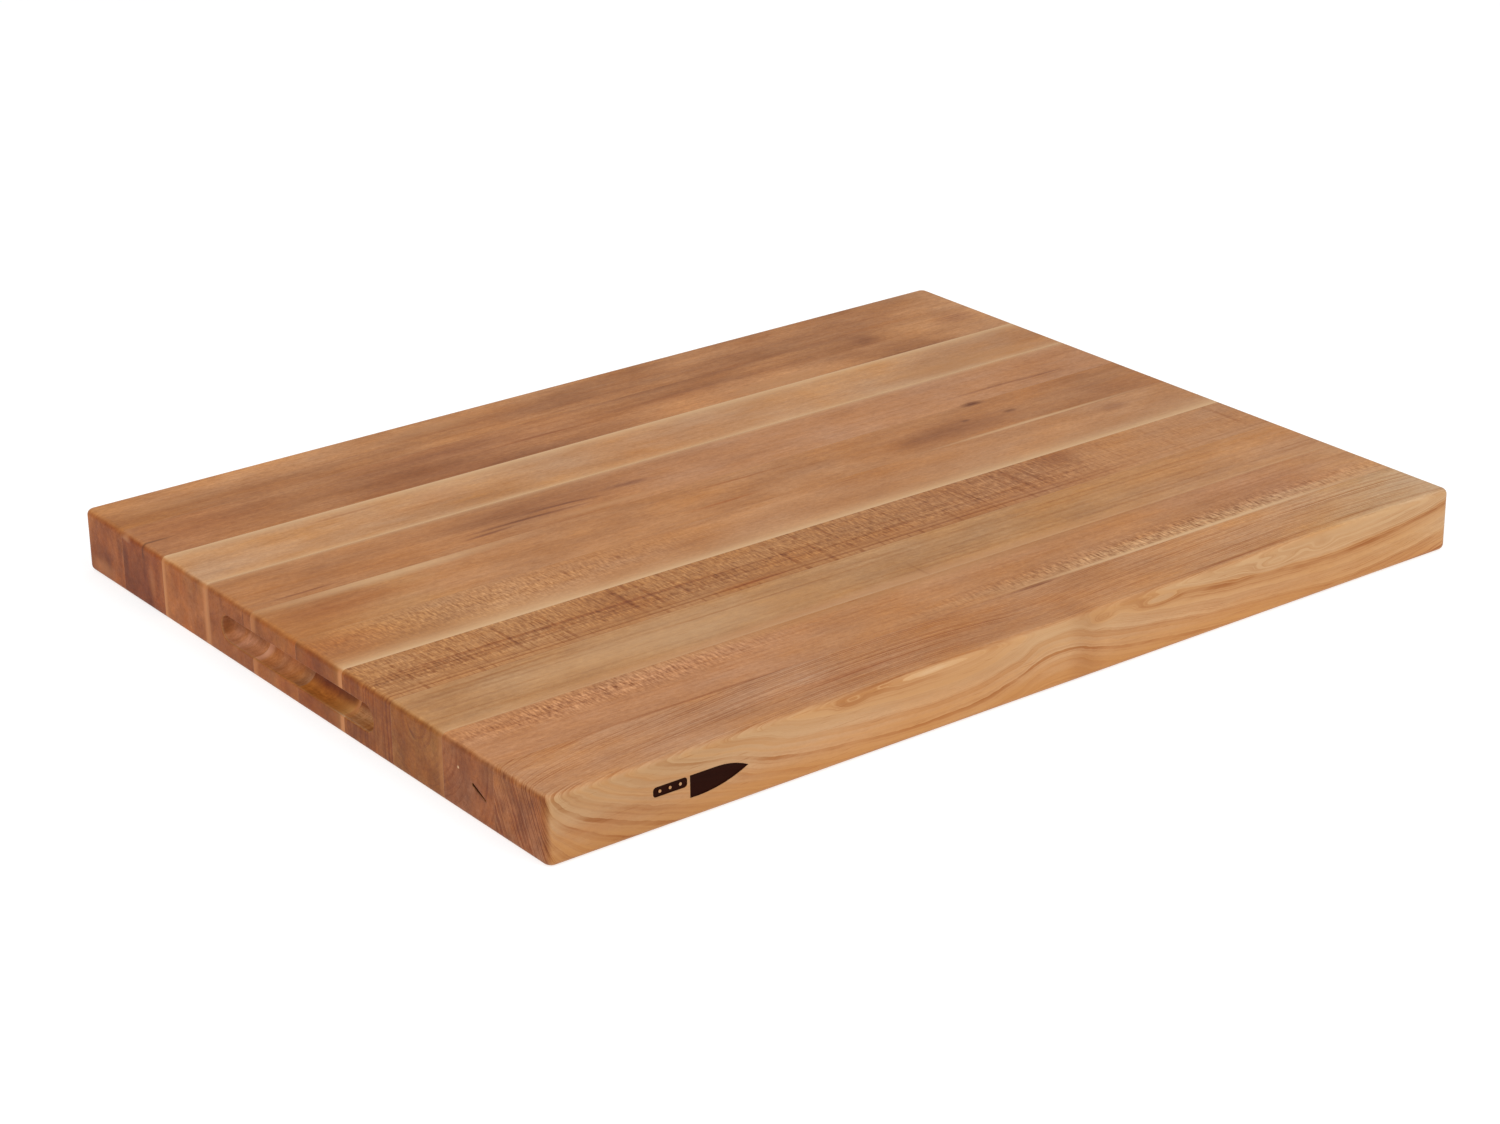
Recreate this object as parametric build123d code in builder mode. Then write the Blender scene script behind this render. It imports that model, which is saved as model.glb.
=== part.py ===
from build123d import *
import os

# Edge-grain hardwood cutting board: ten glued staves with a finger grip in each end.
# Millimetres.  X runs along the grain, +Y points to the rear edge and +Z is up.
# The origin is the centre of the bottom face.

# ---- Board ----
board_length = 609.6        # 24 in, along the grain
board_depth = 457.2         # 18 in, across the staves
board_thickness = 36.5
corner_radius = 4.8         # plan corners
edge_radius = 3.2           # round-over of the top and bottom edges

# ---- Staves ----
# Widths from the rear edge forward.  The front edge stave takes what is left.
stave_widths = [44.0, 45.8, 48.2, 47.0, 45.8, 45.4, 45.8, 46.4, 44.6]
glue_thickness = 0.1        # cured film between two staves

# ---- Finger grips, one in each end ----
grip_length = 152.4         # overall, along the end
grip_height = 15.0          # opening, centred in the thickness
grip_depth = 11.2           # to the bottom of the round-nosed groove
grip_lip = 0.8              # eased rim of the opening

# ---- Season check: a small tapered split in the left end of stave_9 ----
check_depth = 3.0
check_wide = (-166.2, 19.3, 1.05)       # Y, Z and radius of the wide tip
check_narrow = (-177.0, 14.8, 0.5)      # the same for the narrow tip

# ---- Burned-in kitchen knife mark on the front edge, towards the left end ----
mark_place = -223.0         # X of the blade's heel
mark_depth = 0.5
blade_length = 35.0
blade_height = 12.0
handle_length = 20.0
handle_height = 5.4
bolster_gap = 1.6           # unburned strip between blade and handle
rivet_radius = 0.8
rivet_spacing = 6.0

# ---- Worked out from the above ----
mid_height = board_thickness / 2
grip_radius = grip_height / 2
grip_wall = grip_depth - grip_radius      # straight wall before the round nose

# Glue-line planes from the rear edge forward.
glue_planes = []
rear_edge = board_depth / 2
for width in stave_widths:
    previous = glue_planes[-1] if glue_planes else rear_edge
    glue_planes.append(previous - width)

# The clamped-up board: eased slab with a round-nosed groove routed in each end.
with BuildPart() as board:
    with BuildSketch(Plane.XY):
        RectangleRounded(board_length, board_depth, corner_radius)
    extrude(amount=board_thickness)
    fillet(board.faces().filter_by(Axis.Z).edges(), radius=edge_radius)

    for side in (-1, 1):
        inward = Vector(-side, 0, 0)
        end_centre = Vector(side * board_length / 2, 0, mid_height)
        end_face = Plane(origin=end_centre, x_dir=(0, 1, 0), z_dir=inward)
        nose_plane = end_face.offset(grip_wall)
        with BuildSketch(end_face):
            SlotOverall(grip_length, grip_height)
        extrude(amount=grip_wall, mode=Mode.SUBTRACT)
        # Half the opening, turned about its long axis, leaves the round nose.
        with BuildSketch(nose_plane):
            SlotOverall(grip_length, grip_height)
            split(bisect_by=Plane.XZ, keep=Keep.BOTTOM)
        nose_axis = Axis(nose_plane.origin, (0, 1, 0))
        revolve(axis=nose_axis, revolution_arc=180, mode=Mode.SUBTRACT)

    for end in (board.faces().sort_by(Axis.X)[0], board.faces().sort_by(Axis.X)[-1]):
        fillet(end.inner_wires()[0].edges(), radius=grip_lip)

    # The split narrows towards the front edge, as the hull of its two round tips.
    left_end = Plane(origin=(-board_length / 2, 0, 0), x_dir=(0, 1, 0), z_dir=(1, 0, 0))
    with BuildSketch(left_end):
        for along_y, height, tip_radius in (check_wide, check_narrow):
            with Locations((along_y, height)):
                Circle(tip_radius)
        make_hull()
    extrude(amount=check_depth, mode=Mode.SUBTRACT)

    # The mark: blade pointing right, then a handle with three unburned rivets.
    front_edge = Plane(
        origin=(mark_place, -board_depth / 2, mid_height), x_dir=(1, 0, 0), z_dir=(0, -1, 0)
    )
    with BuildSketch(front_edge):
        spine_height = blade_height * 0.4
        heel_height = spine_height - blade_height
        with BuildLine():
            spine = Line((0, spine_height), (blade_length * 0.45, spine_height))
            drop = TangentArc(spine @ 1, (blade_length, 0), tangent=(1, 0))
            belly = ThreePointArc(
                drop @ 1, (blade_length * 0.55, heel_height * 0.78), (0, heel_height)
            )
            Line(belly @ 1, spine @ 0)
        make_face()
        handle_middle = -bolster_gap - handle_length / 2
        with Locations((handle_middle, spine_height - handle_height / 2)):
            RectangleRounded(handle_length, handle_height, handle_height * 0.35)
            with GridLocations(rivet_spacing, 0, 3, 1):
                Circle(rivet_radius, mode=Mode.SUBTRACT)
    extrude(amount=-mark_depth, mode=Mode.SUBTRACT)

# One entry per stave: name, rear boundary and front boundary in Y.
boundaries = [rear_edge, *glue_planes, -rear_edge]
stave_names = ["rear_edge_stave"]
stave_names += [f"stave_{number}" for number in range(2, len(stave_widths) + 1)]
stave_names += ["front_edge_stave"]

os.makedirs("parts", exist_ok=True)

# The staves: the board cut apart between its glue films.
for name, rear, front in zip(stave_names, boundaries, boundaries[1:]):
    rear_side = rear if rear == rear_edge else rear - glue_thickness / 2
    front_side = front if front == -rear_edge else front + glue_thickness / 2
    with BuildPart() as stave:
        add(board.part)
        with Locations((0, (rear_side + front_side) / 2, mid_height)):
            Box(board_length, rear_side - front_side, board_thickness, mode=Mode.INTERSECT)
    stave.part.label = name
    export_step(stave.part, f"parts/{name}.step")

# The cured glue films, one solid at each joint between staves.
with BuildPart() as glue_lines:
    with Locations(*[(0, plane, mid_height) for plane in glue_planes]):
        Box(board_length, glue_thickness, board_thickness)
    add(board.part, mode=Mode.INTERSECT)
glue_lines.part.label = "glue_lines"
export_step(glue_lines.part, "parts/glue_lines.step")
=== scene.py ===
import math

import bpy
from mathutils import Matrix, Vector


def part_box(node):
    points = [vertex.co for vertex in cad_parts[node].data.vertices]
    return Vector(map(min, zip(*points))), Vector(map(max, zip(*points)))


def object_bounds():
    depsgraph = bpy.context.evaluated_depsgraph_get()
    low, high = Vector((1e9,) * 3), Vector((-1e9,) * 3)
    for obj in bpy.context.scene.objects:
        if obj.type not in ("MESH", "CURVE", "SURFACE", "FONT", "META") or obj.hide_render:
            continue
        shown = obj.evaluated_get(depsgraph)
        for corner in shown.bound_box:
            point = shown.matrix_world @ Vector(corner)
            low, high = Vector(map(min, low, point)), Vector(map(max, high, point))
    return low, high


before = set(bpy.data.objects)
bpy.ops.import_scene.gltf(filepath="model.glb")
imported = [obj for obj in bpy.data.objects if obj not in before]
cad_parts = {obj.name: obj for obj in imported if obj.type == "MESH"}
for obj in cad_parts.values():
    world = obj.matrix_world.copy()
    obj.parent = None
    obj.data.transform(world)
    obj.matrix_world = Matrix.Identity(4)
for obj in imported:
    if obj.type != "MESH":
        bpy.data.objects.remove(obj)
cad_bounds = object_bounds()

MM = 0.001
LOW, HIGH = Vector(cad_bounds[0]), Vector(cad_bounds[1])
LENGTH = (HIGH.x - LOW.x) / MM
THICKNESS = (HIGH.z - LOW.z) / MM
LEFT = LOW.x / MM
FRONT = LOW.y / MM

# Every length in a wood pattern is in millimetres.
# The finger grips, about the middle of each end; their surfaces count from GRIP_START
# below the plane of the end.
GRIP_HALF_WIDTH = 76.2
GRIP_HALF_HEIGHT = 7.5
GRIP_START = 0.8
# The split and the burned mark both lie this close to mid thickness.
RECESS_HALF = 9.5
SPLIT_DEPTH = 3.0
SOFT_EDGE = 0.5

SATIN = 0.2
MATT = 0.03


def rgb(red, green, blue):
    """An 8-bit display colour as a linear shader colour."""
    linear = []
    for value in (red, green, blue):
        share = value / 255
        low_part = share / 12.92
        high_part = ((share + 0.055) / 1.055) ** 2.4
        linear.append(low_part if share <= 0.04045 else high_part)
    return (*linear, 1.0)


# ---- Palette: oiled wood under neutral light ----
CREAM = rgb(205, 167, 125)
STRAW = rgb(189, 149, 106)
PALE = rgb(185, 134, 88)
TAN = rgb(178, 125, 80)
FAWN = rgb(173, 119, 74)
DUN = rgb(175, 124, 83)
GOLD = rgb(173, 120, 71)
PINK = rgb(177, 123, 81)
AMBER = rgb(166, 107, 55)
HAZEL = rgb(168, 112, 66)
ORANGE = rgb(184, 127, 67)
BROWN = rgb(164, 107, 63)
HONEY = rgb(182, 119, 71)
KHAKI = rgb(172, 124, 77)

# Tints multiply the wood under them.
DARKER = (0.70, 0.57, 0.44, 1.0)
MINERAL = (0.56, 0.44, 0.42, 1.0)
RUST = (0.86, 0.66, 0.46, 1.0)
LINE = (0.72, 0.53, 0.34, 1.0)
BAR = (0.62, 0.43, 0.23, 1.0)
SHADED = (0.86, 0.83, 0.79, 1.0)
WEDGE = (0.48, 0.30, 0.17, 1.0)
UMBER = (0.38, 0.24, 0.14, 1.0)
PITCH = (0.12, 0.06, 0.05, 1.0)
CHAR = (0.04, 0.014, 0.01, 1.0)
# Painted light: a yellower upper band on the ends, offsetting the bluish sky sheen there.
UPPER_END_SHEEN_OFFSET = (1.0, 0.97, 0.77, 1.0)

GLUE_DARK = rgb(120, 80, 50)
GLUE_PALE = rgb(170, 122, 82)
FLOOR_GREY = (0.45, 0.45, 0.45, 1.0)
WHITE = (1.0, 1.0, 1.0, 1.0)


class Graph:
    """Adds shader nodes to one tree and wires them, so that a material reads as formulas."""

    def __init__(self, tree):
        self.tree = tree

    def node(self, kind, **settings):
        made = self.tree.nodes.new(kind)
        for name, value in settings.items():
            setattr(made, name, value)
        return made

    def feed(self, socket, value):
        if isinstance(value, bpy.types.NodeSocket):
            self.tree.links.new(value, socket)
        else:
            socket.default_value = value

    def math(self, operation, first, second=0.0, third=0.0):
        made = self.node("ShaderNodeMath", operation=operation)
        for socket, value in zip(made.inputs, (first, second, third)):
            self.feed(socket, value)
        return made.outputs[0]

    def add(self, first, second):
        return self.math("ADD", first, second)

    def subtract(self, first, second):
        return self.math("SUBTRACT", first, second)

    def times(self, first, second):
        return self.math("MULTIPLY", first, second)

    def range(self, value, low, high, start=0.0, stop=1.0):
        """A smooth step of value: start below low, stop above high."""
        made = self.node("ShaderNodeMapRange", interpolation_type="SMOOTHSTEP")
        for name, part in (
            ("Value", value),
            ("From Min", low),
            ("From Max", high),
            ("To Min", start),
            ("To Max", stop),
        ):
            self.feed(made.inputs[name], part)
        return made.outputs["Result"]

    def fall(self, value, low, high):
        """A smooth step down: one below low, zero above high."""
        return self.range(value, low, high, 1.0, 0.0)

    def mix(self, share, first, second, blend="MIX"):
        made = self.node("ShaderNodeMix", data_type="RGBA", blend_type=blend)
        self.feed(made.inputs[0], share)
        self.feed(made.inputs[6], first)
        self.feed(made.inputs[7], second)
        return made.outputs[2]

    def combine(self, x, y, z):
        made = self.node("ShaderNodeCombineXYZ")
        for socket, value in zip(made.inputs, (x, y, z)):
            self.feed(socket, value)
        return made.outputs[0]

    def scaled(self, vector, scale, shift):
        made = self.node("ShaderNodeVectorMath", operation="MULTIPLY_ADD")
        self.feed(made.inputs[0], vector)
        self.feed(made.inputs[1], scale)
        self.feed(made.inputs[2], shift)
        return made.outputs[0]

    def noise(self, vector, detail=2.0, roughness=0.5):
        made = self.node("ShaderNodeTexNoise")
        self.feed(made.inputs["Vector"], vector)
        made.inputs["Scale"].default_value = 1.0
        made.inputs["Detail"].default_value = detail
        made.inputs["Roughness"].default_value = roughness
        return made.outputs[0]

    def ramp(self, value, stops):
        made = self.node("ShaderNodeValToRGB")
        made.color_ramp.interpolation = "EASE"
        elements = made.color_ramp.elements
        while len(elements) < len(stops):
            elements.new(0.5)
        for element, (place, color) in zip(elements, stops):
            element.position = place
            element.color = color
        self.feed(made.inputs[0], value)
        return made.outputs[0]


class Wood:
    """The material of one stave, built up in layers from its base tone."""

    def __init__(self, name, seed):
        low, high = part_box(name)
        self.rear = high.y / MM
        self.width = (high.y - low.y) / MM
        self.middle = (high.y + low.y) / 2 / MM
        self.material = bpy.data.materials.new(f"wood_{name}")
        self.material.use_nodes = True
        tree = self.material.node_tree
        tree.nodes.clear()
        self.graph = Graph(tree)
        g = self.graph
        source = g.node("ShaderNodeTexCoord").outputs["Object"]
        self.place = g.scaled(source, (1 / MM,) * 3, (0, 0, 0))
        parts = g.node("ShaderNodeSeparateXYZ")
        g.feed(parts.inputs[0], self.place)
        self.x, self.y, self.z = parts.outputs
        self.up = g.subtract(self.z, THICKNESS / 2)
        self.along = g.times(g.subtract(self.x, LEFT), 1 / LENGTH)
        self.shift = (seed * 371.3, seed * 57.1, seed * 91.7)
        normal = g.node("ShaderNodeSeparateXYZ")
        g.feed(normal.inputs[0], g.node("ShaderNodeNewGeometry").outputs["Normal"])
        self.end = g.range(g.math("ABSOLUTE", normal.outputs[0]), 0.35, 0.95)
        self.edge = g.range(g.math("ABSOLUTE", normal.outputs[1]), 0.35, 0.95)
        self.color = None
        self.height = 0.0
        self.gloss = SATIN

    def field(self, scale, detail=2.0, roughness=0.5, shift=0.0):
        """Noise centred on zero; scale is cycles per millimetre along X, Y and Z.

        Fields of one stave with different shifts have nothing in common.
        """
        offset = tuple(part + shift for part in self.shift)
        stretched = self.graph.scaled(self.place, scale, offset)
        raw = self.graph.noise(stretched, detail, roughness)
        return self.graph.subtract(raw, 0.5)

    def tones(self, *stops):
        """The base colour along the stave; places run from 0 at the left end to 1."""
        wander = self.field((0.004, 0.03, 0.03), 2, 0.5, 3.1)
        along = self.graph.add(self.along, self.graph.times(wander, 0.25))
        self.color = self.graph.ramp(along, stops)

    def tint(self, mask, color, strength=1.0):
        """Multiplies the wood by a tint where the mask is set."""
        share = self.graph.times(mask, strength)
        self.color = self.graph.mix(share, self.color, color, "MULTIPLY")

    def paint(self, mask, color, strength=1.0):
        """Covers the wood with a colour where the mask is set."""
        share = self.graph.times(mask, strength)
        self.color = self.graph.mix(share, self.color, color)

    def shade(self, field, amount):
        """Lightens or darkens the wood by a field centred on zero."""
        g = self.graph
        factor = g.add(g.times(field, amount), 1.0)
        warm = g.add(g.times(field, amount * 1.3), 1.0)
        blue = g.add(g.times(field, amount * 1.6), 1.0)
        self.color = g.mix(1.0, self.color, g.combine(factor, warm, blue), "MULTIPLY")

    def warm(self, field, amount):
        """Turns the wood more yellow or more pink by a field centred on zero."""
        g = self.graph
        green = g.add(g.times(field, amount * 0.3), 1.0)
        blue = g.add(g.times(field, amount), 1.0)
        self.color = g.mix(1.0, self.color, g.combine(1.0, green, blue), "MULTIPLY")

    def mottle(self, amount=0.8, hue=1.5, clouds=0.0):
        """Cloudy changes of tone and warmth, and on the ends a stronger blotch of both."""
        self.shade(self.field((0.015, 0.038, 0.038), 5, 0.66, 11.0), amount)
        self.warm(self.field((0.012, 0.032, 0.032), 5, 0.66, 17.0), hue)
        if clouds:
            self.shade(self.field((0.005, 0.022, 0.022), 2, 0.5, 13.0), clouds)
        blotch = self.graph.times(self.field((0.02, 0.09, 0.06), 4, 0.6, 19.0), self.end)
        self.shade(blotch, 1.2)
        reddish = self.graph.times(self.field((0.02, 0.07, 0.05), 3, 0.6, 29.0), self.end)
        self.warm(reddish, 2.0)

    def bands(self, amount=0.4):
        """Broad and fine fibre bands along the grain."""
        self.shade(self.field((0.0025, 0.14, 0.14), 3, 0.6, 23.0), amount)
        fine = self.field((0.02, 0.5, 0.5), 4, 0.72, 31.0)
        self.shade(fine, amount)
        silk = self.field((0.28, 0.6, 0.6), 3, 0.75, 37.0)
        self.shade(silk, amount * 2.0)
        self.height = self.graph.add(self.height, self.graph.times(fine, 0.5))

    def pores(self, strength=0.5):
        """Short dark vessel dashes; on the ends they show as dots."""
        g = self.graph
        dash = g.range(self.field((0.06, 1.3, 1.3), 2, 0.5, 47.0), 0.13, 0.24)
        self.tint(dash, LINE, strength)
        self.height = g.subtract(self.height, g.times(dash, 0.3))

    def rings(self, pith, spacing, strength, wander=3.0, ends=1.4):
        """Growth rings around a pith line, given as Y and Z from the stave's middle."""
        g = self.graph
        across = g.subtract(self.y, self.middle + pith[0])
        upward = g.subtract(self.up, pith[1])
        square = g.add(g.times(across, across), g.times(upward, upward))
        radius = g.math("SQRT", square)
        warp = self.field((0.005, 0.03, 0.03), 3, 0.5, 59.0)
        radius = g.add(radius, g.times(warp, wander * 2))
        self.ring_lines(g.times(radius, 1 / spacing), strength, ends)

    def ring_lines(self, count, strength, ends):
        """Dark latewood lines, one per whole number of count, of uneven weight."""
        g = self.graph
        uneven = g.node("ShaderNodeTexNoise", noise_dimensions="1D")
        g.feed(uneven.inputs["W"], g.times(count, 0.7))
        count = g.add(count, uneven.outputs[0])
        weight = g.node("ShaderNodeTexWhiteNoise", noise_dimensions="1D")
        g.feed(weight.inputs["W"], g.math("FLOOR", count))
        inside = g.math("FRACT", count)
        rise = g.range(inside, 0.35, 0.92)
        fall = g.fall(inside, 0.94, 1.0)
        line = g.times(g.times(rise, fall), g.range(weight.outputs[0], 0.0, 1.0, 0.3, 1.0))
        patchy = self.field((0.012, 0.07, 0.07), 3, 0.6, 139.0)
        line = g.times(line, g.range(patchy, -0.16, 0.14, 0.3, 1.0))
        stronger = g.add(g.times(self.end, ends), 1.0)
        self.tint(g.times(line, stronger), LINE, strength)
        self.height = g.subtract(self.height, g.times(line, 0.3))

    def oval(self, first, second, halves, arch=0.0, tilt=0.0):
        """A soft oval mask over two offsets in millimetres; arch bows it, tilt slants it."""
        g = self.graph
        run = g.times(first, 1 / halves[0])
        bow = g.subtract(g.times(tilt, run), g.times(g.times(run, run), arch))
        rise = g.times(g.subtract(second, bow), 1 / halves[1])
        reach = g.math("SQRT", g.add(g.times(run, run), g.times(rise, rise)))
        return g.fall(reach, 0.1, 1.0)

    def spot(self, along, across, half_length, half_width,
             wander=2.0, broken=0.0, arch=0.0, tilt=0.0, depth=None):
        """An oval that follows the grain; it can be broken into streaks or kept shallow."""
        g = self.graph
        bend = self.field((0.012, 0.02, 0.02), 3, 0.5, 71.0 + along * 10)
        y = g.add(self.y, g.times(bend, wander * 2))
        run = g.subtract(self.x, LEFT + along * LENGTH)
        side = g.subtract(y, self.rear - across * self.width)
        mask = self.oval(run, side, (half_length, half_width), arch, tilt)
        if broken:
            streaks = self.field((0.02, 0.4, 0.4), 4, 0.65, 83.0)
            mask = g.times(mask, g.range(streaks, -0.12, 0.12, 1.0 - broken, 1.0))
        if depth is not None:
            mask = g.times(mask, g.range(self.z, THICKNESS - depth * 2, THICKNESS - depth))
        return mask

    def stain(self, color, strength, *place, **look):
        """Tints one spot; place and look are those of spot()."""
        self.tint(self.spot(*place, **look), color, strength)

    def wash(self, color, strength, *place, **look):
        """Covers one spot with a paler or warmer wood tone."""
        self.paint(self.spot(*place, **look), color, strength)

    def end_spot(self, across, up, half_width, half_height, arch=0.0, tilt=0.0):
        """An oval on the left end: across from the rear side, up from mid thickness."""
        g = self.graph
        side = g.subtract(self.rear - across * self.width, self.y)
        bend = self.field((0.02, 0.05, 0.05), 3, 0.6, 89.0 + across * 10)
        rise = g.add(g.subtract(self.up, up), g.times(bend, 4.0))
        mask = self.oval(side, rise, (half_width, half_height), arch, tilt)
        return g.times(mask, self.near_left())

    def near_left(self):
        """A mask for the left end, as deep as the split goes."""
        bottom = LEFT + SPLIT_DEPTH
        return self.graph.fall(self.x, bottom, bottom + 2.0)

    def within(self, value, reach):
        """A mask where a value lies closer to zero than reach."""
        distance = self.graph.math("ABSOLUTE", value)
        return self.graph.fall(distance, reach, reach + SOFT_EDGE)

    def depth_from(self, side):
        """Distance in millimetres from the stave's rear or front glue line."""
        g = self.graph
        line = self.rear if side == "rear" else self.rear - self.width
        return g.math("ABSOLUTE", g.subtract(self.y, line))

    def sapwood_and_highlight(self, side, reach, strength=1.0):
        """Pale sapwood that fades away from one glue line; side is rear or front. On the front
        edge stave, front is the front face, and the pale band along that edge is partly a painted
        highlight.
        """
        g = self.graph
        wave = g.add(g.times(self.field((0.008, 0.0, 0.02), 3, 0.6, 97.0), 1.2), 1.0)
        depth = g.math("DIVIDE", self.depth_from(side), wave)
        self.paint(g.math("EXPONENT", g.times(depth, -1 / reach)), CREAM, strength)

    def end_strip(self, side, reach, strength):
        """The pale sapwood strip as it shows on the end grain."""
        g = self.graph
        fade = g.fall(self.depth_from(side), reach * 0.4, reach)
        self.paint(g.times(fade, self.end), HONEY, strength)

    def stripes(self, position, spacing, share, weight_seed=0.0):
        """Lines over a position in millimetres, of uneven place and weight."""
        g = self.graph
        count = g.times(position, 1 / spacing)
        uneven = g.node("ShaderNodeTexNoise", noise_dimensions="1D")
        g.feed(uneven.inputs["W"], g.times(count, 0.45))
        count = g.add(count, g.times(uneven.outputs[0], 1.6))
        weight = g.node("ShaderNodeTexWhiteNoise", noise_dimensions="1D")
        g.feed(weight.inputs["W"], g.add(g.math("FLOOR", count), weight_seed))
        off_middle = g.math("ABSOLUTE", g.subtract(g.math("FRACT", count), 0.5))
        line = g.fall(off_middle, 0.0, share / 2)
        return g.times(line, g.range(weight.outputs[0], 0.0, 1.0, 0.2, 1.0))

    def crossbars(self, long_line, fade):
        """Ray figure of quarter-sawn wood about a long line, which is a place across in Y."""
        wobble = self.field((0.02, 0.03, 0.03), 3, 0.6, 101.0)
        place = self.graph.add(self.x, self.graph.times(wobble, 3.0))
        self.broken_bars(place, fade)
        self.dash_band(place, long_line, fade)
        self.weave(long_line, fade)
        front_fade = self.graph.range(self.y, long_line - 17, long_line - 11, 0.25, 1.0)
        self.flecks(self.graph.times(fade, front_fade), 1.5)

    def broken_bars(self, place, fade):
        """Bars over the whole width, broken up along the stave."""
        g = self.graph
        broken = g.range(self.field((0.05, 0.2, 0.2), 3, 0.6, 104.0), -0.08, 0.08, 0.2, 1.0)
        bars = g.times(self.stripes(place, 4.6, 0.5, 11.0), broken)
        self.tint(g.times(bars, fade), BAR, 0.9)

    def dash_band(self, place, long_line, fade):
        """A band of short dashes just in front of the long line, fainter behind it."""
        g = self.graph
        band = g.range(self.y, long_line - 15, long_line - 11, 0.2, 1.0)
        band = g.times(band, g.range(self.y, long_line - 1, long_line, 1.0, 0.5))
        dashes = g.range(self.field((0.06, 0.32, 0.32), 2, 0.5, 105.0), -0.07, 0.06)
        dashes = g.times(dashes, self.stripes(place, 2.4, 0.75, 5.0))
        self.tint(g.times(g.times(dashes, band), fade), BAR, 1.0)

    def weave(self, long_line, fade):
        """Streaks along the grain, which cross the bars in front of the long line."""
        g = self.graph
        sag = g.times(self.field((0.003, 0.02, 0.02), 2, 0.5, 106.0), 8.0)
        streaks = self.stripes(g.add(self.y, sag), 4.2, 0.6, 23.0)
        front_half = g.range(self.y, long_line - 2, long_line + 1, 1.0, 0.25)
        self.tint(g.times(g.times(streaks, front_half), fade), BAR, 0.9)

    def flecks(self, mask, strength):
        """Fine ray flecks, short dashes across the grain, both light and dark."""
        g = self.graph
        speck = self.field((0.75, 0.19, 0.3), 2, 0.6, 109.0)
        faces = g.subtract(1.0, self.end)
        self.shade(g.times(g.times(speck, mask), faces), strength)

    def hollow(self):
        """A mask for the surfaces of the routed finger grips, below the plane of the ends."""
        g = self.graph
        below = g.subtract(LENGTH / 2 - GRIP_START, g.math("ABSOLUTE", self.x))
        inside = g.range(below, 0.0, GRIP_START)
        level = self.within(self.up, GRIP_HALF_HEIGHT)
        span = self.within(self.y, GRIP_HALF_WIDTH)
        return g.times(inside, g.times(level, span))

    def cut_across(self):
        """Makes the whole inside of the finger grip look like end grain."""
        self.end = self.graph.math("MAXIMUM", self.end, self.hollow())

    def end_grain(self, tint):
        """The ends drink more oil: darker and redder, with a speckle of open pores. Their upper
        band is painted yellower to offset the bluish sky sheen that falls on it.
        """
        g = self.graph
        self.tint(self.end, tint)
        # Painted light: the upper band of the end is made yellower against the sky's bluish
        # sheen.
        self.tint(g.times(self.end, g.range(self.up, 0.0, 14.0)), UPPER_END_SHEEN_OFFSET)
        speckle = self.field((1.0, 1.1, 1.1), 3, 0.7, 113.0)
        self.shade(g.times(speckle, self.end), 0.4)

    def grip_painted_light(self, tint, floor_light_tint):
        """Painted light and shade inside the finger grip: a tint over the whole hollow and a
        further tint of its floor, standing in for the light that reaches into it and the shade
        under its top lip.
        """
        inside = self.hollow()
        floor = self.graph.fall(self.up, -7.0, -2.5)
        self.tint(inside, tint)
        self.tint(self.graph.times(inside, floor), floor_light_tint)

    def groove_beside(self, side, start, reach):
        """A mask inside the finger grip that fades away from one glue line."""
        fade = self.graph.fall(self.depth_from(side), start, reach)
        return self.graph.times(fade, self.hollow())

    def scorch_and_split_shade(self, mask, color):
        """Near-black and matt: scorched wood at the burned mark, and painted shade on the walls
        of the split.
        """
        self.tint(mask, color)
        self.gloss = self.graph.range(mask, 0.0, 1.0, SATIN, MATT)

    def finish(self):
        """A satin oiled surface; returns the finished material."""
        g = self.graph
        shader = g.node("ShaderNodeBsdfPrincipled")
        g.feed(shader.inputs["Base Color"], self.color)
        sheen_change = self.field((0.02, 0.25, 0.25), 3, 0.6, 127.0)
        roughness = g.add(g.times(sheen_change, 0.25), 0.5)
        g.feed(shader.inputs["Roughness"], g.add(roughness, g.times(self.end, 0.08)))
        g.feed(shader.inputs["Specular IOR Level"], self.gloss)
        bump = g.node("ShaderNodeBump")
        bump.inputs["Strength"].default_value = 0.5
        bump.inputs["Distance"].default_value = 0.12 * MM
        g.feed(bump.inputs["Height"], self.height)
        g.feed(shader.inputs["Normal"], bump.outputs[0])
        output = g.node("ShaderNodeOutputMaterial")
        g.feed(output.inputs["Surface"], shader.outputs[0])
        return self.material


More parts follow.
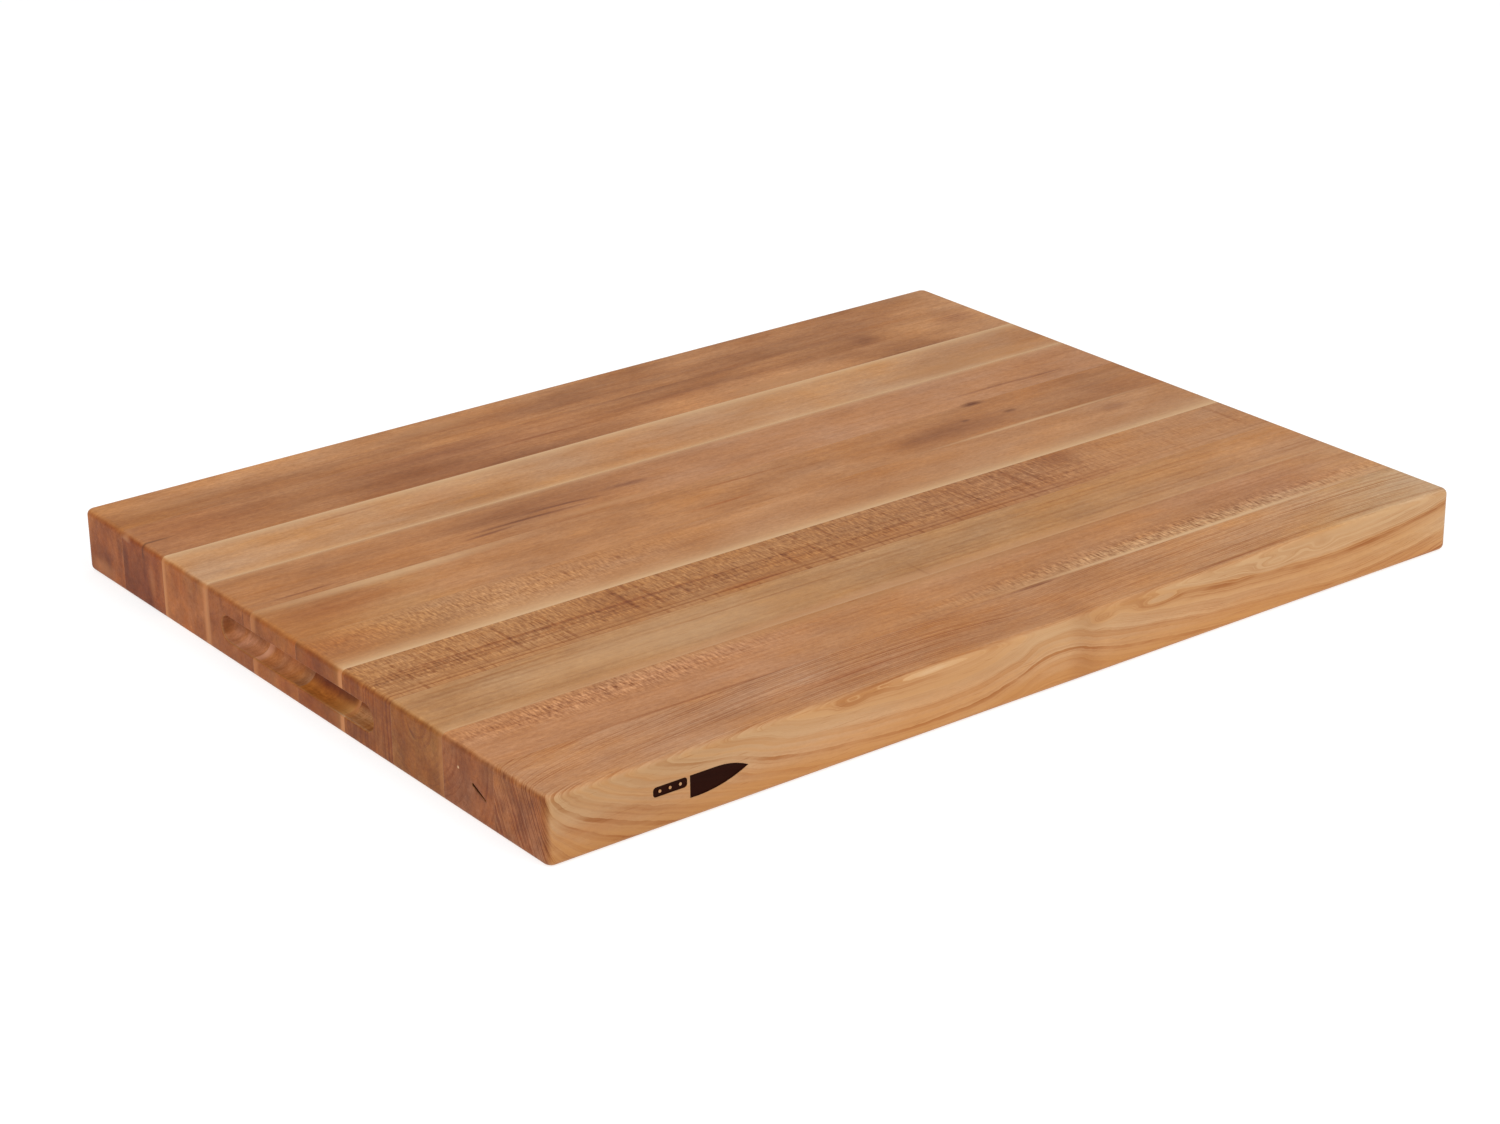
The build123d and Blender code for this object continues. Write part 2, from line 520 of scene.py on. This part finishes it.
# ---- Recipes, from the rear stave to the front one ----
# stain() and wash() read: colour, strength, share of the length from the left end, share
# of the width from the rear, half length, half width. The figure sits where they put it,
# and the noise of each stave's own seed fills in between. Layers go on in the order of
# the lines, and end_grain() and grip_painted_light() tint what is there by then; the
# latter paints light and shade inside the finger grips.
def rear_edge_stave():
    wood = Wood("rear_edge_stave", 1)
    wood.tones((0.0, AMBER), (0.12, HAZEL), (0.3, FAWN), (0.45, HAZEL), (0.85, HAZEL), (1.0, TAN))
    wood.mottle(0.75, 1.6, clouds=1.4)
    wood.bands(0.35)
    wood.rings((60, -30), 6.0, 0.3, 6, ends=0.0)
    wood.pores()
    wood.stain(DARKER, 0.35, 0.0, 0.5, 30, 30)
    wood.wash(PALE, 0.35, 0.06, 0.55, 45, 9)
    wood.wash(PALE, 0.4, 0.36, 0.35, 50, 12)
    wood.stain(MINERAL, 0.3, 0.46, 0.6, 60, 12)
    wood.stain(DARKER, 0.4, 0.72, 0.65, 130, 6, broken=0.5)
    wood.stain(DARKER, 0.35, 0.76, 0.25, 25, 14)
    wood.stain(DARKER, 0.3, 0.9, 0.5, 30, 12, broken=0.5)
    wood.end_grain((0.69, 0.48, 0.37, 1.0))
    wood.tint(wood.end_spot(0.55, -4, 9, 14), MINERAL, 0.45)
    wood.tint(wood.end_spot(0.9, 2, 4, 16), MINERAL, 0.5)
    wood.tint(wood.end_spot(0.5, 12, 28, 10), DARKER, 0.45)
    wood.paint(wood.end_spot(0.1, 6, 5, 14), HONEY, 0.25)
    wood.paint(wood.end_spot(0.4, -13, 20, 9), HONEY, 0.4)
    return wood.finish()


def stave_2():
    wood = Wood("stave_2", 2)
    wood.tones((0.0, BROWN), (0.15, HAZEL), (0.3, BROWN), (0.6, HAZEL), (1.0, TAN))
    wood.mottle(0.75, 1.2, clouds=1.7)
    wood.bands(0.35)
    wood.rings((-50, -40), 6.0, 0.3, 6, ends=0.0)
    wood.pores()
    wood.stain(DARKER, 0.5, 0.02, 0.5, 60, 40)
    wood.stain(DARKER, 0.5, 0.09, 0.35, 50, 14)
    wood.stain(MINERAL, 0.42, 0.32, 0.25, 110, 11, broken=0.4)
    wood.stain(DARKER, 0.6, 0.64, 0.4, 170, 12, broken=0.4)
    wood.stain(LINE, 0.8, 0.43, 0.52, 60, 2, wander=4)
    wood.stain(DARKER, 0.6, 0.3, 0.96, 170, 3.5)
    wood.stain(DARKER, 0.6, 0.85, 0.98, 60, 2.0)
    wood.stain(MINERAL, 0.6, 0.845, 0.28, 17, 13)
    wood.stain(MINERAL, 0.4, 0.8, 0.6, 22, 6, broken=0.6)
    wood.stain(MINERAL, 0.75, 0.965, 0.3, 23, 14, broken=0.5)
    wood.wash(PALE, 0.6, 0.7, 0.85, 60, 10)
    wood.end_grain((0.67, 0.42, 0.215, 1.0))
    wood.stain(PITCH, 0.6, 0.01, 0.52, 20, 1.6, wander=1.0, arch=-1.2, depth=5)
    wood.tint(wood.end_spot(0.55, 4, 3.5, 12), MINERAL, 0.45)
    wood.tint(wood.end_spot(0.08, 2, 4, 16), MINERAL, 0.4)
    # Painted highlight: a pink patch on the eased top edge of the end, by the rear glue line.
    wood.paint(wood.end_spot(0.1, 16, 7, 3), PINK, 0.6)
    wood.paint(wood.end_spot(0.72, 0, 5, 16), HONEY, 0.25)
    return wood.finish()


def stave_3():
    wood = Wood("stave_3", 3)
    wood.tones((0.0, PALE), (0.3, PALE), (0.5, TAN), (0.8, PALE), (1.0, TAN))
    wood.mottle(0.7, 2.0, clouds=0.6)
    wood.bands(0.3)
    wood.rings((10, -90), 4.0, 0.25, ends=0.0)
    wood.pores()
    wood.wash(GOLD, 0.6, 0.87, 0.75, 85, 14)
    wood.wash(PINK, 0.4, 0.27, 0.35, 22, 12)
    wood.stain(LINE, 0.6, 0.18, 0.2, 45, 1.6, wander=3)
    wood.stain(LINE, 0.5, 0.24, 0.55, 55, 10, broken=0.9)
    wood.sapwood_and_highlight("rear", 4.5)
    wood.sapwood_and_highlight("front", 2.2, 0.9)
    wood.end_grain((0.61, 0.37, 0.205, 1.0))
    wood.end_strip("rear", 4.0, 0.7)
    wood.end_strip("front", 4.5, 0.6)
    return wood.finish()


def stave_4():
    wood = Wood("stave_4", 4)
    wood.cut_across()
    wood.tones((0.0, HAZEL), (0.3, HAZEL), (0.5, PINK), (1.0, PINK))
    wood.mottle(0.7)
    wood.bands(0.3)
    wood.rings((40, 60), 4.0, 0.25, ends=0.0)
    wood.pores()
    wood.stain(MINERAL, 0.55, 0.33, 0.42, 105, 15, broken=0.5)
    wood.stain(MINERAL, 1.0, 0.30, 0.66, 58, 2.1, wander=1, arch=2.0, tilt=-1.0)
    wood.stain(MINERAL, 1.0, 0.345, 0.54, 38, 1.9, wander=1, arch=3.0, tilt=-3.0)
    wood.stain(MINERAL, 1.0, 0.255, 0.76, 26, 1.9, wander=1, tilt=1.0)
    wood.stain(MINERAL, 0.7, 0.425, 0.5, 22, 4.5, tilt=-2)
    wood.wash(PALE, 0.6, 0.37, 0.86, 60, 5)
    wood.stain(MINERAL, 0.9, 0.06, 0.88, 32, 1.7, wander=3)
    wood.stain(MINERAL, 0.6, 0.86, 0.72, 60, 1.6, wander=4)
    wood.stain(MINERAL, 0.8, 0.915, 0.74, 26, 1.5, wander=3)
    wood.stain(UMBER, 0.9, 0.806, 1.0, 14, 3.2, wander=0.5, arch=1.5)
    wood.sapwood_and_highlight("rear", 2.2, 0.5)
    wood.end_grain((0.65, 0.445, 0.29, 1.0))
    wood.end_strip("rear", 3.0, 0.5)
    wood.tint(wood.end_spot(0.83, 12, 1.4, 8), UMBER, 0.6)
    # Painted light: the inside of the grip, and more so its floor, is made brighter and paler.
    wood.grip_painted_light((1.3, 1.68, 2.9, 1.0), (1.5, 1.8, 2.3, 1.0))
    return wood.finish()


def stave_5():
    wood = Wood("stave_5", 5)
    wood.cut_across()
    wood.tones((0.0, AMBER), (0.13, GOLD), (0.2, FAWN), (0.6, FAWN), (0.8, HAZEL), (1.0, HAZEL))
    wood.mottle(0.8)
    wood.bands(0.3)
    wood.rings((-30, -60), 4.0, 0.25, ends=0.0)
    wood.pores()
    wood.stain(RUST, 0.9, 0.075, 0.45, 56, 20, broken=0.3)
    wood.wash(CREAM, 0.55, 0.13, 0.05, 120, 9, tilt=-1.5)
    wood.stain(MINERAL, 0.45, 0.74, 0.6, 80, 19)
    wood.stain(DARKER, 0.45, 0.71, 0.62, 30, 14, broken=0.4)
    wood.stain(UMBER, 0.7, 0.771, 0.44, 5, 2.2)
    wood.stain(UMBER, 0.7, 0.823, 0.52, 8, 2.8)
    wood.stain(UMBER, 1.0, 0.806, 0.02, 11, 3.6, wander=1, arch=1.5)
    wood.stain(RUST, 1.0, 0.465, 0.72, 35, 1.8)
    wood.stain(LINE, 0.8, 0.51, 0.2, 45, 1.6, wander=4)
    wood.stain(DARKER, 0.5, 0.96, 0.7, 42, 12, broken=0.6)
    wood.wash(CREAM, 0.7, 0.83, 0.97, 115, 2.5, wander=0.5)
    wood.end_grain((0.72, 0.535, 0.37, 1.0))
    wood.end_strip("rear", 6.5, 0.4)
    # Painted light: the inside of the grip and its floor are made brighter and paler.
    wood.grip_painted_light((1.3, 1.5, 2.4, 1.0), (1.25, 1.5, 1.8, 1.0))
    # Painted shade: the grip darker towards the front glue line, next to stave 6.
    wood.tint(wood.groove_beside("front", 4.0, 22.0), (0.72, 0.76, 0.84, 1.0))
    return wood.finish()


def stave_6():
    wood = Wood("stave_6", 6)
    wood.tones((0.0, AMBER), (0.1, GOLD), (0.3, TAN), (0.4, FAWN), (0.8, FAWN), (1.0, TAN))
    wood.mottle(0.65, clouds=0.5)
    wood.bands(0.3)
    wood.rings((0, 80), 3.5, 0.2, ends=0.0)
    wood.flecks(wood.spot(0.17, 0.35, 190, 26), 1.7)
    wood.pores()
    wood.stain(RUST, 0.45, 0.03, 0.4, 42, 22)
    wood.stain(DARKER, 0.7, 0.257, 0.32, 2.2, 9)
    wood.stain(DARKER, 0.7, 0.313, 0.3, 2.2, 7)
    wood.stain(MINERAL, 0.45, 0.91, 0.25, 15, 9)
    wood.sapwood_and_highlight("front", 6.0)
    wood.end_grain((0.56, 0.365, 0.185, 1.0))
    wood.end_strip("front", 5.0, 0.9)
    # Painted shade over the inside of the grip, with painted light on its floor.
    wood.grip_painted_light((0.77, 0.62, 0.32, 1.0), (1.42, 1.6, 2.1, 1.0))
    wood.paint(wood.groove_beside("front", 1.2, 3.0), HONEY, 0.9)
    return wood.finish()


# The boldest cross bars of stave 7: share of the length, half length, strength.
BOLD_BARS = (
    (0.142, 1.6, 0.8),
    (0.263, 3.0, 1.0),
    (0.288, 2.0, 0.9),
    (0.318, 2.2, 0.6),
    (0.643, 2.4, 0.6),
    (0.707, 4.0, 0.8),
    (0.725, 2.0, 0.7),
    (0.975, 3.0, 0.4),
)


def stave_7():
    """Quarter-sawn face with a woven ray figure that fades out towards the right end."""
    wood = Wood("stave_7", 7)
    wood.cut_across()
    wood.tones((0.0, GOLD), (0.25, GOLD), (0.45, GOLD), (0.75, HAZEL), (0.84, TAN), (1.0, TAN))
    wood.mottle(0.4)
    wood.bands(0.3)
    fade = wood.graph.range(wood.along, 0.70, 0.84, 1.0, 0.3)
    wood.crossbars(wood.rear - wood.width * 0.44, fade)
    for place, half_length, strength in BOLD_BARS:
        wood.stain(BAR, strength, place, 0.4, half_length, 34, broken=0.3)
    wood.stain(BAR, 0.5, 0.25, 0.35, 24, 30, broken=0.3)
    wood.stain(BAR, 0.3, 0.46, 0.5, 110, 30, broken=0.3)
    wood.stain(BAR, 0.6, 0.77, 0.2, 20, 18, broken=0.3)
    wood.stain(LINE, 1.0, 0.2, 0.44, 190, 1.7, wander=1)
    wood.stain(LINE, 0.7, 0.14, 0.56, 150, 1.2, wander=1)
    wood.stain(RUST, 1.0, 0.375, 0.88, 34, 3.0)
    wood.pores()
    wood.end_grain((0.59, 0.39, 0.21, 1.0))
    upright = wood.stripes(wood.y, 5.6, 0.7, 3.0)
    flat_end = wood.graph.subtract(wood.end, wood.hollow())
    wood.tint(wood.graph.times(upright, flat_end), LINE, 0.9)
    # Painted shade over the inside of the grip under the top lip, with strong painted light on
    # its floor.
    wood.grip_painted_light((0.88, 0.72, 0.5, 1.0), (2.1, 3.9, 11.0, 1.0))
    return wood.finish()


def stave_8():
    wood = Wood("stave_8", 8)
    wood.tones((0.0, KHAKI), (0.6, KHAKI), (1.0, TAN))
    wood.mottle(0.6)
    wood.bands(0.3)
    wood.rings((0, 17), 4.0, 0.5, 2, ends=0.3)
    wood.wash(CREAM, 0.35, 0.25, 0.5, 140, 24)
    wood.wash(PINK, 0.55, 0.4, 0.97, 330, 9)
    wood.stain(LINE, 0.6, 0.1, 0.12, 80, 1.5, wander=3)
    wood.stain(LINE, 0.5, 0.3, 0.3, 80, 1.5, wander=4)
    wood.stain(DARKER, 0.5, 0.501, 0.8, 1.6, 18, wander=1)
    wood.stain(DARKER, 0.2, 0.03, 0.4, 26, 16)
    wood.pores()
    wood.sapwood_and_highlight("front", 3.0, 0.3)
    wood.end_grain((0.57, 0.375, 0.175, 1.0))
    wood.tint(wood.end_spot(0.42, 7.5, 5.5, 1.6, arch=-3.0, tilt=-4.0), UMBER, 0.6)
    wood.tint(wood.end_spot(0.7, -10, 16, 9), DARKER, 0.35)
    wood.end_strip("front", 4.5, 0.22)
    return wood.finish()


def split_walls(wood):
    """Painted shade: darkens the walls and the bottom of the drying split in the left end nearly
    to black.
    """
    g = wood.graph
    below_end = g.range(wood.x, LEFT + 0.1, LEFT + 0.8)
    inside = wood.within(wood.up, RECESS_HALF)
    # Painted shade: the split's walls go nearly black.
    wood.scorch_and_split_shade(g.times(g.times(below_end, inside), wood.near_left()), PITCH)


def stave_9():
    wood = Wood("stave_9", 9)
    wood.tones((0.0, PINK), (0.25, PINK), (0.4, FAWN), (0.7, FAWN), (0.85, PINK), (1.0, PALE))
    wood.mottle(0.6)
    wood.bands(0.3)
    wood.rings((33, 14), 3.8, 0.4, 2, ends=1.2)
    wood.wash(KHAKI, 0.45, 0.4, 0.03, 330, 7)
    wood.flecks(wood.spot(0.14, 0.22, 160, 18), 2.4)
    wood.stain(LINE, 0.4, 0.14, 0.22, 170, 15, broken=0.7)
    wood.wash(STRAW, 0.7, 0.75, 0.87, 250, 9, broken=0.6)
    wood.flecks(wood.spot(0.75, 0.8, 260, 14), 2.4)
    wood.stain(MINERAL, 0.15, 0.87, 0.4, 110, 16)
    wood.wash(CREAM, 0.9, 0.76, 0.97, 200, 2.8, wander=0.5)
    wood.stain(LINE, 1.0, 0.2, 1.0, 90, 1.6, wander=0.5)
    wood.stain(WEDGE, 0.9, 0.556, 1.0, 22, 1.7, wander=0.5)
    wood.pores()
    wood.end_grain((0.53, 0.38, 0.30, 1.0))
    wood.paint(wood.end_spot(0.31, 5.0, 1.1, 1.2), CREAM, 1.0)
    # Painted shade: a dark band along the mouth of the split on the end face, wider than the
    # split.
    wood.tint(wood.end_spot(0.695, -1.2, 7.5, 2.4, tilt=-3.0), UMBER, 0.7)
    split_walls(wood)
    return wood.finish()


# The growth layers of the front stave rise and fall along it. Each point of the line is a
# share of the length and a share of GRAIN_RISE, and GRAIN_TILT leans the layers back.
GRAIN_RISE = 74.0
GRAIN_TILT = 2.2
GRAIN_LINE = (
    (0.0, 1.0), (0.0625, 0.655), (0.167, 0.397), (0.333, 0.162), (0.41, 0.15), (0.47, 0.235),
    (0.52, 0.334), (0.565, 0.25), (0.61, 0.18), (0.75, 0.052), (0.875, 0.0), (1.0, 0.12),
)
# Closed ovals in the grain: share of the length, height over the middle, half length, lift.
GRAIN_EYES = (
    (0.293, 13.0, 15.0, 2.4),
    (0.567, 12.0, 14.0, 6.0),
    (0.631, 11.0, 24.0, 6.0),
    (0.775, 10.0, 26.0, 6.0),
    (0.833, 11.0, 14.0, 4.0),
)


def front_grain(wood):
    """Height of a point in the stack of growth layers of the flat-sawn front stave."""
    g = wood.graph
    line = g.node("ShaderNodeFloatCurve")
    curve = line.mapping.curves[0]
    for place, rise in GRAIN_LINE[1:-1]:
        curve.points.new(place, rise)
    curve.points[0].location = GRAIN_LINE[0]
    curve.points[-1].location = GRAIN_LINE[-1]
    line.mapping.update()
    g.feed(line.inputs["Value"], wood.along)
    rise = g.times(line.outputs[0], GRAIN_RISE)
    warp = wood.field((0.014, 0.03, 0.06), 4, 0.62, 59.0)
    level = g.subtract(wood.z, g.times(wood.y, GRAIN_TILT))
    level = g.add(g.subtract(level, rise), g.times(warp, 7.0))
    for along, up, half_length, lift in GRAIN_EYES:
        run = g.subtract(wood.x, LEFT + along * LENGTH)
        eye = wood.oval(run, g.subtract(wood.up, up), (half_length, 5.0))
        level = g.add(level, g.times(g.times(eye, wood.edge), lift))
    return level


def front_tones(wood):
    """Tones of the front face: straw above, orange below, a pale crest, redder corners."""
    g = wood.graph
    wood.paint(g.times(wood.edge, g.range(wood.z, 8.0, 34.0)), STRAW, 0.9)
    wood.paint(g.times(wood.edge, g.fall(wood.z, 0.0, 22.0)), ORANGE, 0.85)
    patches = g.range(wood.field((0.014, 0.05, 0.07), 3, 0.6, 137.0), 0.0, 0.16)
    wood.paint(g.times(wood.edge, patches), CREAM, 0.14)
    wood.wash(CREAM, 0.2, 1.0, 0.6, 120, 30)
    wood.tint(g.times(wood.edge, g.fall(wood.along, 0.05, 0.3)), SHADED)
    crest = wood.oval(g.subtract(wood.along, 0.37), g.subtract(wood.up, 15), (0.17, 8))
    wood.paint(g.times(crest, wood.edge), CREAM, 0.9)
    for place, up in ((0.05, -4), (0.97, -16)):
        corner = wood.oval(g.subtract(wood.along, place), g.subtract(wood.up, up), (0.07, 7))
        wood.tint(g.times(corner, wood.edge), RUST, 0.45)


def front_lines(wood):
    """Growth lines in three weights: broad bands, bold lines and fine lines between them."""
    g = wood.graph
    level = front_grain(wood)
    broad = g.times(wood.stripes(level, 15.0, 0.7, 2.0), wood.edge)
    wood.paint(broad, ORANGE, 0.5)
    bolder = g.range(wood.along, 0.5, 0.7, 1.0, 1.15)
    softer = g.times(g.range(wood.z, 18.0, 36.0, 1.3, 0.9), bolder)
    wood.ring_lines(g.times(level, 1 / 8.0), softer, ends=0.6)
    edge_share = g.range(wood.along, 0.5, 0.8, 0.35, 0.9)
    fine = g.add(g.times(wood.edge, g.subtract(edge_share, 1.25)), 1.25)
    wood.ring_lines(g.times(level, 1 / 3.7), fine, ends=1.0)
    wood.tint(g.times(wood.stripes(level, 6.5, 0.7, 7.0), wood.end), DARKER, 1.0)


def burned_mark(wood):
    """Chars the recessed mark, the only surface that is set back from the front face here."""
    g = wood.graph
    below_face = g.range(wood.y, FRONT + 0.1, FRONT + 0.4)
    inside = wood.within(wood.up, RECESS_HALF)
    clear_of_end = g.range(wood.along, 0.02, 0.03)
    near_mark = g.times(clear_of_end, g.fall(wood.along, 0.3, 0.31))
    wood.scorch_and_split_shade(g.times(g.times(below_face, inside), near_mark), CHAR)


def front_edge_stave():
    """Flat-sawn face with long flowing lines that climb over a hump near the middle."""
    wood = Wood("front_edge_stave", 10)
    wood.tones((0.0, DUN), (0.3, DUN), (0.5, FAWN), (0.8, PALE), (0.96, STRAW), (1.0, STRAW))
    wood.mottle(0.6, 2.0)
    wood.bands(0.3)
    # Partly a painted highlight: a pale band along the top front edge, also blending the top into
    # the brighter front face.
    wood.sapwood_and_highlight("front", 4.0, 0.35)
    front_tones(wood)
    front_lines(wood)
    wood.stain(RUST, 0.7, 0.32, 0.55, 55, 4)
    wood.stain(DARKER, 0.4, 0.55, 0.9, 16, 26)
    wood.stain(LINE, 0.9, 0.2, 0.0, 90, 1.4, wander=0.5)
    wood.stain(LINE, 0.8, 0.72, 0.88, 100, 1.6, wander=1.5)
    wood.stain(WEDGE, 0.9, 0.556, 0.02, 22, 1.7, wander=0.5)
    wood.pores()
    wood.end_grain((0.66, 0.50, 0.40, 1.0))
    burned_mark(wood)
    return wood.finish()


def glue():
    """Cured glue: a dull brown line where it comes to the surface."""
    material = bpy.data.materials.new("cured_glue")
    material.use_nodes = True
    tree = material.node_tree
    tree.nodes.clear()
    g = Graph(tree)
    source = g.node("ShaderNodeTexCoord").outputs["Object"]
    mottle = g.noise(g.scaled(source, (60, 60, 60), (0, 0, 0)), 3)
    color = g.mix(mottle, GLUE_DARK, GLUE_PALE)
    shader = g.node("ShaderNodeBsdfPrincipled")
    g.feed(shader.inputs["Base Color"], color)
    g.feed(shader.inputs["Roughness"], g.range(mottle, 0.2, 0.8, 0.5, 0.65))
    output = g.node("ShaderNodeOutputMaterial")
    g.feed(output.inputs["Surface"], shader.outputs[0])
    return material


RECIPES = {
    "rear_edge_stave": rear_edge_stave,
    "stave_2": stave_2,
    "stave_3": stave_3,
    "stave_4": stave_4,
    "stave_5": stave_5,
    "stave_6": stave_6,
    "stave_7": stave_7,
    "stave_8": stave_8,
    "stave_9": stave_9,
    "front_edge_stave": front_edge_stave,
    "glue_lines": glue,
}


def dress(node, material):
    """Gives a CAD node its material in every slot."""
    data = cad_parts[node].data
    if not data.materials:
        data.materials.append(material)
    for index in range(len(data.materials)):
        data.materials[index] = material


for node, recipe in RECIPES.items():
    dress(node, recipe())


# ---- Floor and light, in metres and watts ----
FLOOR_SIZE = 12.0
FLOOR_GAP = 0.0002
FLOOR_GLOW = 0.66
SKY_STRENGTH = 0.62
SOFTBOXES = (
    ("key", (0.5, -1.7, 1.7), 1.6, 25.9),
    ("left_fill", (-1.7, -0.4, 1.3), 1.2, 15.6),
)


def floor():
    """A plain pale floor under the board, with a little glow of its own to soften shadows."""
    bpy.ops.mesh.primitive_plane_add(size=FLOOR_SIZE, location=(0, 0, LOW.z - FLOOR_GAP))
    plane = bpy.context.object
    plane.name = "floor"
    material = bpy.data.materials.new("pale_floor")
    material.use_nodes = True
    shader = material.node_tree.nodes["Principled BSDF"]
    shader.inputs["Base Color"].default_value = FLOOR_GREY
    shader.inputs["Roughness"].default_value = 0.9
    shader.inputs["Specular IOR Level"].default_value = 0.1
    shader.inputs["Emission Color"].default_value = WHITE
    shader.inputs["Emission Strength"].default_value = FLOOR_GLOW
    plane.data.materials.append(material)


def sky():
    """An even surround, plain white where the camera looks straight at it."""
    world = bpy.data.worlds.new("studio")
    world.use_nodes = True
    nodes = world.node_tree.nodes
    links = world.node_tree.links
    background = nodes["Background"]
    background.inputs["Color"].default_value = WHITE
    path = nodes.new("ShaderNodeLightPath")
    level = nodes.new("ShaderNodeMapRange")
    level.inputs["To Min"].default_value = SKY_STRENGTH
    level.inputs["To Max"].default_value = 1.0
    links.new(path.outputs["Is Camera Ray"], level.inputs["Value"])
    links.new(level.outputs["Result"], background.inputs["Strength"])
    bpy.context.scene.world = world


def softbox(name, place, size, power):
    """A square area light aimed at the board."""
    data = bpy.data.lights.new(name, "AREA")
    data.size = size
    data.energy = power
    lamp = bpy.data.objects.new(name, data)
    lamp.location = place
    lamp.rotation_euler = (-Vector(place)).to_track_quat("-Z", "Y").to_euler()
    bpy.context.scene.collection.objects.link(lamp)


# ---- Camera ----
CAMERA_AZIMUTH = math.radians(-37.08)
CAMERA_ELEVATION = math.radians(22.99)
CAMERA_ROLL = math.radians(-0.743)
CAMERA_DISTANCE = 1.908
CAMERA_TARGET = Vector((-0.0127, 0.0003, 0.0012))
SENSOR_WIDTH = 36.0
FOCAL_LENGTH = 81.85


def camera():
    """A long lens looking down on the board's left front corner."""
    data = bpy.data.cameras.new("camera")
    data.sensor_width = SENSOR_WIDTH
    data.lens = FOCAL_LENGTH
    flat = math.cos(CAMERA_ELEVATION)
    toward = Vector((
        -math.sin(CAMERA_AZIMUTH) * flat,
        math.cos(CAMERA_AZIMUTH) * flat,
        -math.sin(CAMERA_ELEVATION),
    ))
    turn = toward.to_track_quat("-Z", "Y").to_matrix().to_4x4()
    roll = Matrix.Rotation(CAMERA_ROLL, 4, "Z")
    place = Matrix.Translation(CAMERA_TARGET - toward * CAMERA_DISTANCE)
    made = bpy.data.objects.new("camera", data)
    made.matrix_world = place @ turn @ roll
    bpy.context.scene.collection.objects.link(made)
    bpy.context.scene.camera = made


floor()
sky()
for box in SOFTBOXES:
    softbox(*box)
camera()
bpy.context.scene.view_settings.view_transform = "Standard"
